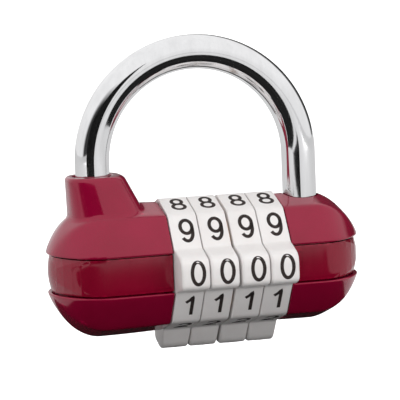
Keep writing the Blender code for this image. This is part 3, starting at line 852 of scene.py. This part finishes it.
# centre lines in a cell 1 wide and 1 high about its middle; a closed stroke repeats its first point
STROKES = {
    0: [arc(0, 0, 0.42, 0.45, 0, 360, 36)],
    1: [[(-0.34, 0.20), (-0.08, 0.32), (0.12, 0.48), (0.12, -0.5)]],
    2: [arc(0, 0.18, 0.40, 0.28, 165, -20, 14)
        + [(0.20, -0.08), (-0.20, -0.28), (-0.42, -0.46), (0.44, -0.46)]],
    3: [arc(-0.02, 0.22, 0.36, 0.24, 160, -90, 16) + arc(-0.02, -0.22, 0.42, 0.25, 90, -160, 18)],
    4: [[(0.44, -0.18), (-0.46, -0.18), (0.16, 0.46), (0.16, -0.5)]],
    5: [[(0.36, 0.46), (-0.28, 0.46), (-0.36, 0.02)] + arc(0, -0.16, 0.40, 0.31, 145, -155, 20)],
    6: [arc(0.02, 0.05, 0.42, 0.42, 40, 180, 14) + arc(0.0, -0.17, 0.41, 0.30, 180, 540, 30)],
    7: [[(-0.42, 0.46), (0.42, 0.46), (0.10, 0.02), (-0.08, -0.5)]],
    8: [arc(0, 0.23, 0.35, 0.23, -90, 270, 28) + arc(0, -0.23, 0.42, 0.24, 90, -270, 28)],
    9: [arc(-0.02, -0.05, 0.42, 0.42, 220, 360, 14) + arc(0.0, 0.17, 0.41, 0.30, 0, 360, 30)],
}
DIGIT_HIGH = 4.65
DIGIT_WIDE = 2.7
STROKE_HALF = 0.33
INK_HEIGHT = 0.03
INK_DEPTH = 0.05
DIGIT_SHIFT_X = 0.37
# how far each digit lies above its face's middle, along the outline
DIGIT_SHIFT_UP = {0: 0.45, 9: 0.4, 8: 0.5, 1: 0.3}
OTHER_SHIFT_UP = 0.4
STROKE_STEP = 0.25
CLOSED_WITHIN = 0.02
MITRE_MOST = 1.35
MITRE_LEAST_COS = 0.5
NO_LENGTH = 1e-6


def outline_lengths():
    """The length along the outline up to each of its points, and the whole."""
    total, lengths = 0.0, []
    for i, point in enumerate(OUTLINE):
        lengths.append(total)
        total += (OUTLINE[(i + 1) % len(OUTLINE)] - point).length
    return lengths, total


LENGTHS, WHOLE = outline_lengths()


def on_outline(length, height):
    """The (front, up) point at a length along the outline and a height above it."""
    length %= WHOLE
    low, high = 0, len(LENGTHS)
    while high - low > 1:
        middle = (low + high) // 2
        if LENGTHS[middle] <= length:
            low = middle
        else:
            high = middle
    after = (low + 1) % len(OUTLINE)
    end = LENGTHS[after] if after else WHOLE
    t = (length - LENGTHS[low]) / (end - LENGTHS[low])
    point = OUTLINE[low].lerp(OUTLINE[after], t)
    return point + NORMALS[low].lerp(NORMALS[after], t).normalized() * height


def face_start(face):
    """The length along the outline at the middle of a face."""
    direction = Vector((math.cos(face * FACE_ANGLE), math.sin(face * FACE_ANGLE)))
    best = max(range(len(OUTLINE)), key=lambda i: OUTLINE[i].normalized().dot(direction))
    return LENGTHS[best]


def dense_stroke(points):
    """A centre line in millimetres with more points on its long straight parts."""
    scaled = [Vector((x * DIGIT_WIDE, y * DIGIT_HIGH)) for x, y in points]
    made = []
    for a, b in zip(scaled, scaled[1:]):
        pieces = max(1, round((b - a).length / STROKE_STEP))
        made += [a + (b - a) * k / pieces for k in range(pieces)]
    return made + [scaled[-1]]


def stroke_sides(points):
    """The left and right edges of a stroke about its centre line, mitred at its bends."""
    closed = (points[0] - points[-1]).length < CLOSED_WITHIN
    left, right = [], []
    count = len(points)
    for i, point in enumerate(points):
        before = points[i - 1] if i else (points[-2] if closed else point)
        after = points[i + 1] if i < count - 1 else (points[1] if closed else point)
        came, goes = point - before, after - point
        into = came.normalized() if came.length > NO_LENGTH else goes.normalized()
        onto = goes.normalized() if goes.length > NO_LENGTH else into
        along = (into + onto).normalized()
        across = Vector((-along.y, along.x))
        stretch = min(MITRE_MOST, 1 / max(MITRE_LEAST_COS, across.dot(Vector((-into.y, into.x)))))
        left.append(point + across * STROKE_HALF * stretch)
        right.append(point - across * STROKE_HALF * stretch)
    return left, right


def digits_mesh(centre):
    """Ten printed digits round one dial, as thin raised ribbons that follow its outline."""
    bm = bmesh.new()
    for digit, strokes in STROKES.items():
        face = (-digit) % FACES
        middle = face_start(face) + DIGIT_SHIFT_UP.get(digit, OTHER_SHIFT_UP)
        for stroke in strokes:
            left, right = stroke_sides(dense_stroke(stroke))
            rows = []
            for side, height in ((left, -INK_DEPTH), (left, INK_HEIGHT),
                                 (right, INK_HEIGHT), (right, -INK_DEPTH)):
                rows.append([dial_point(centre + DIGIT_SHIFT_X + p.x, on_outline(middle + p.y, height))
                             for p in side])
            rows.append(rows[0])
            made = add_grid(bm, rows)
            for end in (0, -1):
                bm.faces.new([row[end] for row in made[:-1]])
    return bm


def dials():
    """The four dials with their digits."""
    inner = (MIDDLE_GAP + DIAL_WIDTH) / 2
    outer = inner + DIAL_WIDTH + SMALL_GAP
    for number, centre in enumerate((-outer, -inner, inner, outer), start=1):
        body = f"dial_body_{number}"
        finish_piece(f"number_dial_{number}", dial_mesh(centre), DIAL_PLASTIC, body,
                     [f"dial_{number}"])
        finish_piece(f"dial_digits_{number}", digits_mesh(centre), DIGIT_INK, body,
                     weld=FINE_WELD)


dials()


# ---- shackle ----
ROD_SIDES = 56
BOW_STEPS = 72
END_CHAMFER = 0.5
NECK_SLOPE = 0.3
NECK_RUN = 0.5
NECK_SMALL_STEP = 0.1
# heights of the rings along the straight legs
HEEL_RING_ZS = (12.0, 16.0)
TOE_RING_ZS = (16.0, 12.0, 8.0)
NOTCH_HALF_DEPTH = 5
NOTCH_BEYOND = 2


def shackle_rings():
    """(x, z, direction, radius) along the rod from the heel's end over the bow to the toe's end."""
    rings = []
    up = Vector((0, 1))
    heel = [(HEEL_END_Z, ROD_R - END_CHAMFER), (HEEL_END_Z + END_CHAMFER, ROD_R),
            (NECK_LOW_Z, ROD_R), (NECK_LOW_Z + NECK_SLOPE, NECK_R + NECK_SMALL_STEP),
            (NECK_LOW_Z + NECK_RUN, NECK_R), (NECK_HIGH_Z - NECK_RUN, NECK_R),
            (NECK_HIGH_Z - NECK_SLOPE, NECK_R + NECK_SMALL_STEP), (NECK_HIGH_Z, ROD_R)]
    heel += [(z, ROD_R) for z in HEEL_RING_ZS]
    for z, radius in heel:
        rings.append((HEEL_X, z, up, radius))
    for i in range(BOW_STEPS + 1):
        angle = math.pi * (1 - i / BOW_STEPS)
        direction = Vector((math.sin(angle), -math.cos(angle)))
        rings.append((-STACK_X + BOW_R * math.cos(angle), BOW_CENTRE_Z + BOW_R * math.sin(angle),
                      direction, ROD_R))
    toe = [(z, ROD_R) for z in TOE_RING_ZS]
    toe += [(TOE_END_Z + END_CHAMFER, ROD_R), (TOE_END_Z, ROD_R - END_CHAMFER)]
    for z, radius in toe:
        rings.append((TOE_X, z, -up, radius))
    return rings


def shackle_mesh():
    """The rod's skin and ends."""
    bm = bmesh.new()
    rows = []
    for x, z, direction, radius in shackle_rings():
        across = Vector((direction.y, -direction.x))
        row = []
        for i in range(ROD_SIDES):
            angle = 2 * math.pi * i / ROD_SIDES
            shift = across * math.cos(angle) * radius
            row.append(place(x + shift.x, math.sin(angle) * radius, z + shift.y))
        rows.append(row)
    made = add_grid(bm, rows, close=True)
    bm.faces.new(made[0])
    bm.faces.new(made[-1])
    return bm


def shackle():
    """The shackle with its ramped notch at the toe."""
    obj = finish_piece("shackle_rod", shackle_mesh(), CHROME, "shackle_body", ["shackle"])
    near = TOE_X + ROD_R - NOTCH_DEPTH
    far = TOE_X + ROD_R + NOTCH_BEYOND
    outline = [(near, NOTCH_TOP_Z), (near, NOTCH_STEP_Z),
               (near + CAM_SLOPE * (NOTCH_STEP_Z - NOTCH_FOOT_Z), NOTCH_FOOT_Z),
               (far, NOTCH_FOOT_Z), (far, NOTCH_TOP_Z)]
    bm = bmesh.new()
    rows = [[place(x, y, z) for x, z in outline] for y in (-NOTCH_HALF_DEPTH, NOTCH_HALF_DEPTH)]
    made = add_grid(bm, rows, close=True)
    bm.faces.new(made[0])
    bm.faces.new(made[-1])
    boolean(obj, bm, "DIFFERENCE", "notch_tool")
    smooth(obj, ROD_EDGE_ANGLE)


shackle()


# ---- floor, lights and surroundings ----
FLOOR_DROP = 0.006
FLOOR_HALF = 6.0
FLOOR_STEPS = 24
FLOOR_GLOW = 0.80


def stage_sheet(name, corner, along, across, steps, made):
    """A flat staged sheet from a corner and its two sides, in metres."""
    bm = bmesh.new()
    rows = []
    for i in range(steps + 1):
        row = []
        for k in range(steps + 1):
            row.append(Vector(corner) + Vector(across) * (i / steps) + Vector(along) * (k / steps))
        rows.append(row)
    add_grid(bm, rows)
    mesh = bpy.data.meshes.new(name)
    bm.to_mesh(mesh)
    bm.free()
    obj = bpy.data.objects.new(name, mesh)
    bpy.context.scene.collection.objects.link(obj)
    paint(obj, made)
    return obj


def floor():
    """A plain pale floor, which the camera sees brighter than it lights the lock."""
    made, tree, shader = node_material("floor_paper")
    mottle = noise(tree, scale=8, detail=2)
    tree.links.new(ramp(tree, mottle, [(0.3, (0.70, 0.70, 0.70)), (0.7, (0.74, 0.74, 0.74))]),
                   shader.inputs["Base Color"])
    settle(shader, {"Roughness": 0.9, "Specular IOR Level": 0.1})
    glow = tree.nodes.new("ShaderNodeEmission")
    glow.inputs["Strength"].default_value = FLOOR_GLOW
    path = tree.nodes.new("ShaderNodeLightPath")
    pick = tree.nodes.new("ShaderNodeMixShader")
    both = tree.nodes.new("ShaderNodeAddShader")
    tree.links.new(glow.outputs["Emission"], both.inputs[0])
    tree.links.new(shader.outputs["BSDF"], both.inputs[1])
    tree.links.new(path.outputs["Is Camera Ray"], pick.inputs["Fac"])
    tree.links.new(shader.outputs["BSDF"], pick.inputs[1])
    tree.links.new(both.outputs["Shader"], pick.inputs[2])
    tree.links.new(pick.outputs["Shader"], tree.nodes["Material Output"].inputs["Surface"])
    z = (AXIS_Z - LEVER_R) * MM - FLOOR_DROP
    side = 2 * FLOOR_HALF
    stage_sheet("floor", (-FLOOR_HALF, -FLOOR_HALF, z), (side, 0, 0), (0, side, 0), FLOOR_STEPS, made)


FLAG_Y = -0.25
FLAG_FOOT = -0.0590
FLAG_STEPS = 6
UNDER_FLAG_Z = -0.0568
# each dark card's name, corner, two sides, and whether it dims the lock as well as showing in its gloss
FLAGS = [("tall_flag", (-0.30, FLAG_Y, FLAG_FOOT), (0, 0, 0.16), (0.29, 0, 0), False),
         ("floor_flag", (-0.22, -0.165, FLAG_FOOT), (0.32, 0, 0), (0, 0.135, 0), False),
         ("under_flag", (-0.045, -0.034, UNDER_FLAG_Z), (0.09, 0, 0), (0, 0.07, 0), True)]


def flag(name, corner, along, across, diffuse):
    """A dark card seen only by the lock, from the card's front, in reflections or in its shading too."""
    made, tree, shader = node_material(name + "_cloth")
    weave = noise(tree, scale=30, detail=2)
    tree.links.new(ramp(tree, weave, [(0.3, (0.01, 0.01, 0.01)), (0.7, (0.02, 0.02, 0.02))]),
                   shader.inputs["Base Color"])
    settle(shader, {"Roughness": 1.0, "Specular IOR Level": 0.0})
    clear = tree.nodes.new("ShaderNodeBsdfTransparent")
    facing = tree.nodes.new("ShaderNodeNewGeometry")
    pick = tree.nodes.new("ShaderNodeMixShader")
    tree.links.new(facing.outputs["Backfacing"], pick.inputs["Fac"])
    tree.links.new(shader.outputs["BSDF"], pick.inputs[1])
    tree.links.new(clear.outputs["BSDF"], pick.inputs[2])
    tree.links.new(pick.outputs["Shader"], tree.nodes["Material Output"].inputs["Surface"])
    obj = stage_sheet(name, corner, along, across, FLAG_STEPS, made)
    obj.visible_camera = False
    obj.visible_diffuse = diffuse
    obj.visible_shadow = False


LIGHT_TARGET = (0, 0, -0.03)
# each light's name, place and size in metres, and power in watts
LIGHTS = [("top_box", (-0.10, -0.25, 0.55), (0.5, 0.5), 0.55),
          ("right_strip", (0.40, -0.50, 0.01), (0.3, 0.12), 0.7),
          ("left_box", (-0.45, -0.50, 0.01), (0.5, 0.12), 0.9)]


def area_light(name, at, size, power):
    """A soft rectangular light aimed at the lock, and not seen in its gloss."""
    data = bpy.data.lights.new(name, "AREA")
    data.shape = "RECTANGLE"
    data.size, data.size_y = size
    data.energy = power
    obj = bpy.data.objects.new(name, data)
    bpy.context.scene.collection.objects.link(obj)
    obj.visible_glossy = False
    direction = Vector(LIGHT_TARGET) - Vector(at)
    turn = direction.to_track_quat("-Z", "Y").to_matrix().to_4x4()
    obj.matrix_world = Matrix.Translation(Vector(at)) @ turn


# the studio's brightness from straight below to straight above
SKY_STOPS = [(0.0, (0.5, 0.5, 0.5)), (0.48, (0.9, 0.9, 0.9)), (0.60, (0.92, 0.92, 0.92)),
             (0.72, (1, 1, 1))]
DARK_CARD = Vector((-0.66, -0.75, -0.05)).normalized()
# how bright the card is by the cosine from its middle
CARD_STOPS = [(0.80, (1, 1, 1)), (0.90, (0.05, 0.05, 0.05))]
STUDIO_STRENGTH = 0.97


def surroundings():
    """A studio that is bright overhead, dim below, and has a dark card beside the camera and one opposite."""
    world = bpy.data.worlds.new("studio")
    bpy.context.scene.world = world
    world.use_nodes = True
    tree = world.node_tree
    coord = tree.nodes.new("ShaderNodeTexCoord")
    split = tree.nodes.new("ShaderNodeSeparateXYZ")
    tree.links.new(coord.outputs["Generated"], split.inputs["Vector"])
    height = span(tree, split.outputs["Z"], low=0, high=1, from_low=-1, from_high=1)
    rise = ramp(tree, height, SKY_STOPS)
    dot = tree.nodes.new("ShaderNodeVectorMath")
    dot.operation = "DOT_PRODUCT"
    dot.inputs[1].default_value = DARK_CARD
    tree.links.new(coord.outputs["Generated"], dot.inputs[0])
    size = tree.nodes.new("ShaderNodeMath")
    size.operation = "ABSOLUTE"
    tree.links.new(dot.outputs["Value"], size.inputs[0])
    card = ramp(tree, size.outputs["Value"], CARD_STOPS)
    mix = tree.nodes.new("ShaderNodeMix")
    mix.data_type = "RGBA"
    mix.blend_type = "MULTIPLY"
    mix.inputs["Factor"].default_value = 1.0
    tree.links.new(rise, mix.inputs["A"])
    tree.links.new(card, mix.inputs["B"])
    tree.links.new(mix.outputs["Result"], tree.nodes["Background"].inputs["Color"])
    tree.nodes["Background"].inputs["Strength"].default_value = STUDIO_STRENGTH


floor()
surroundings()
for row in FLAGS:
    flag(*row)
for row in LIGHTS:
    area_light(*row)
bpy.context.scene.view_settings.view_transform = "Standard"
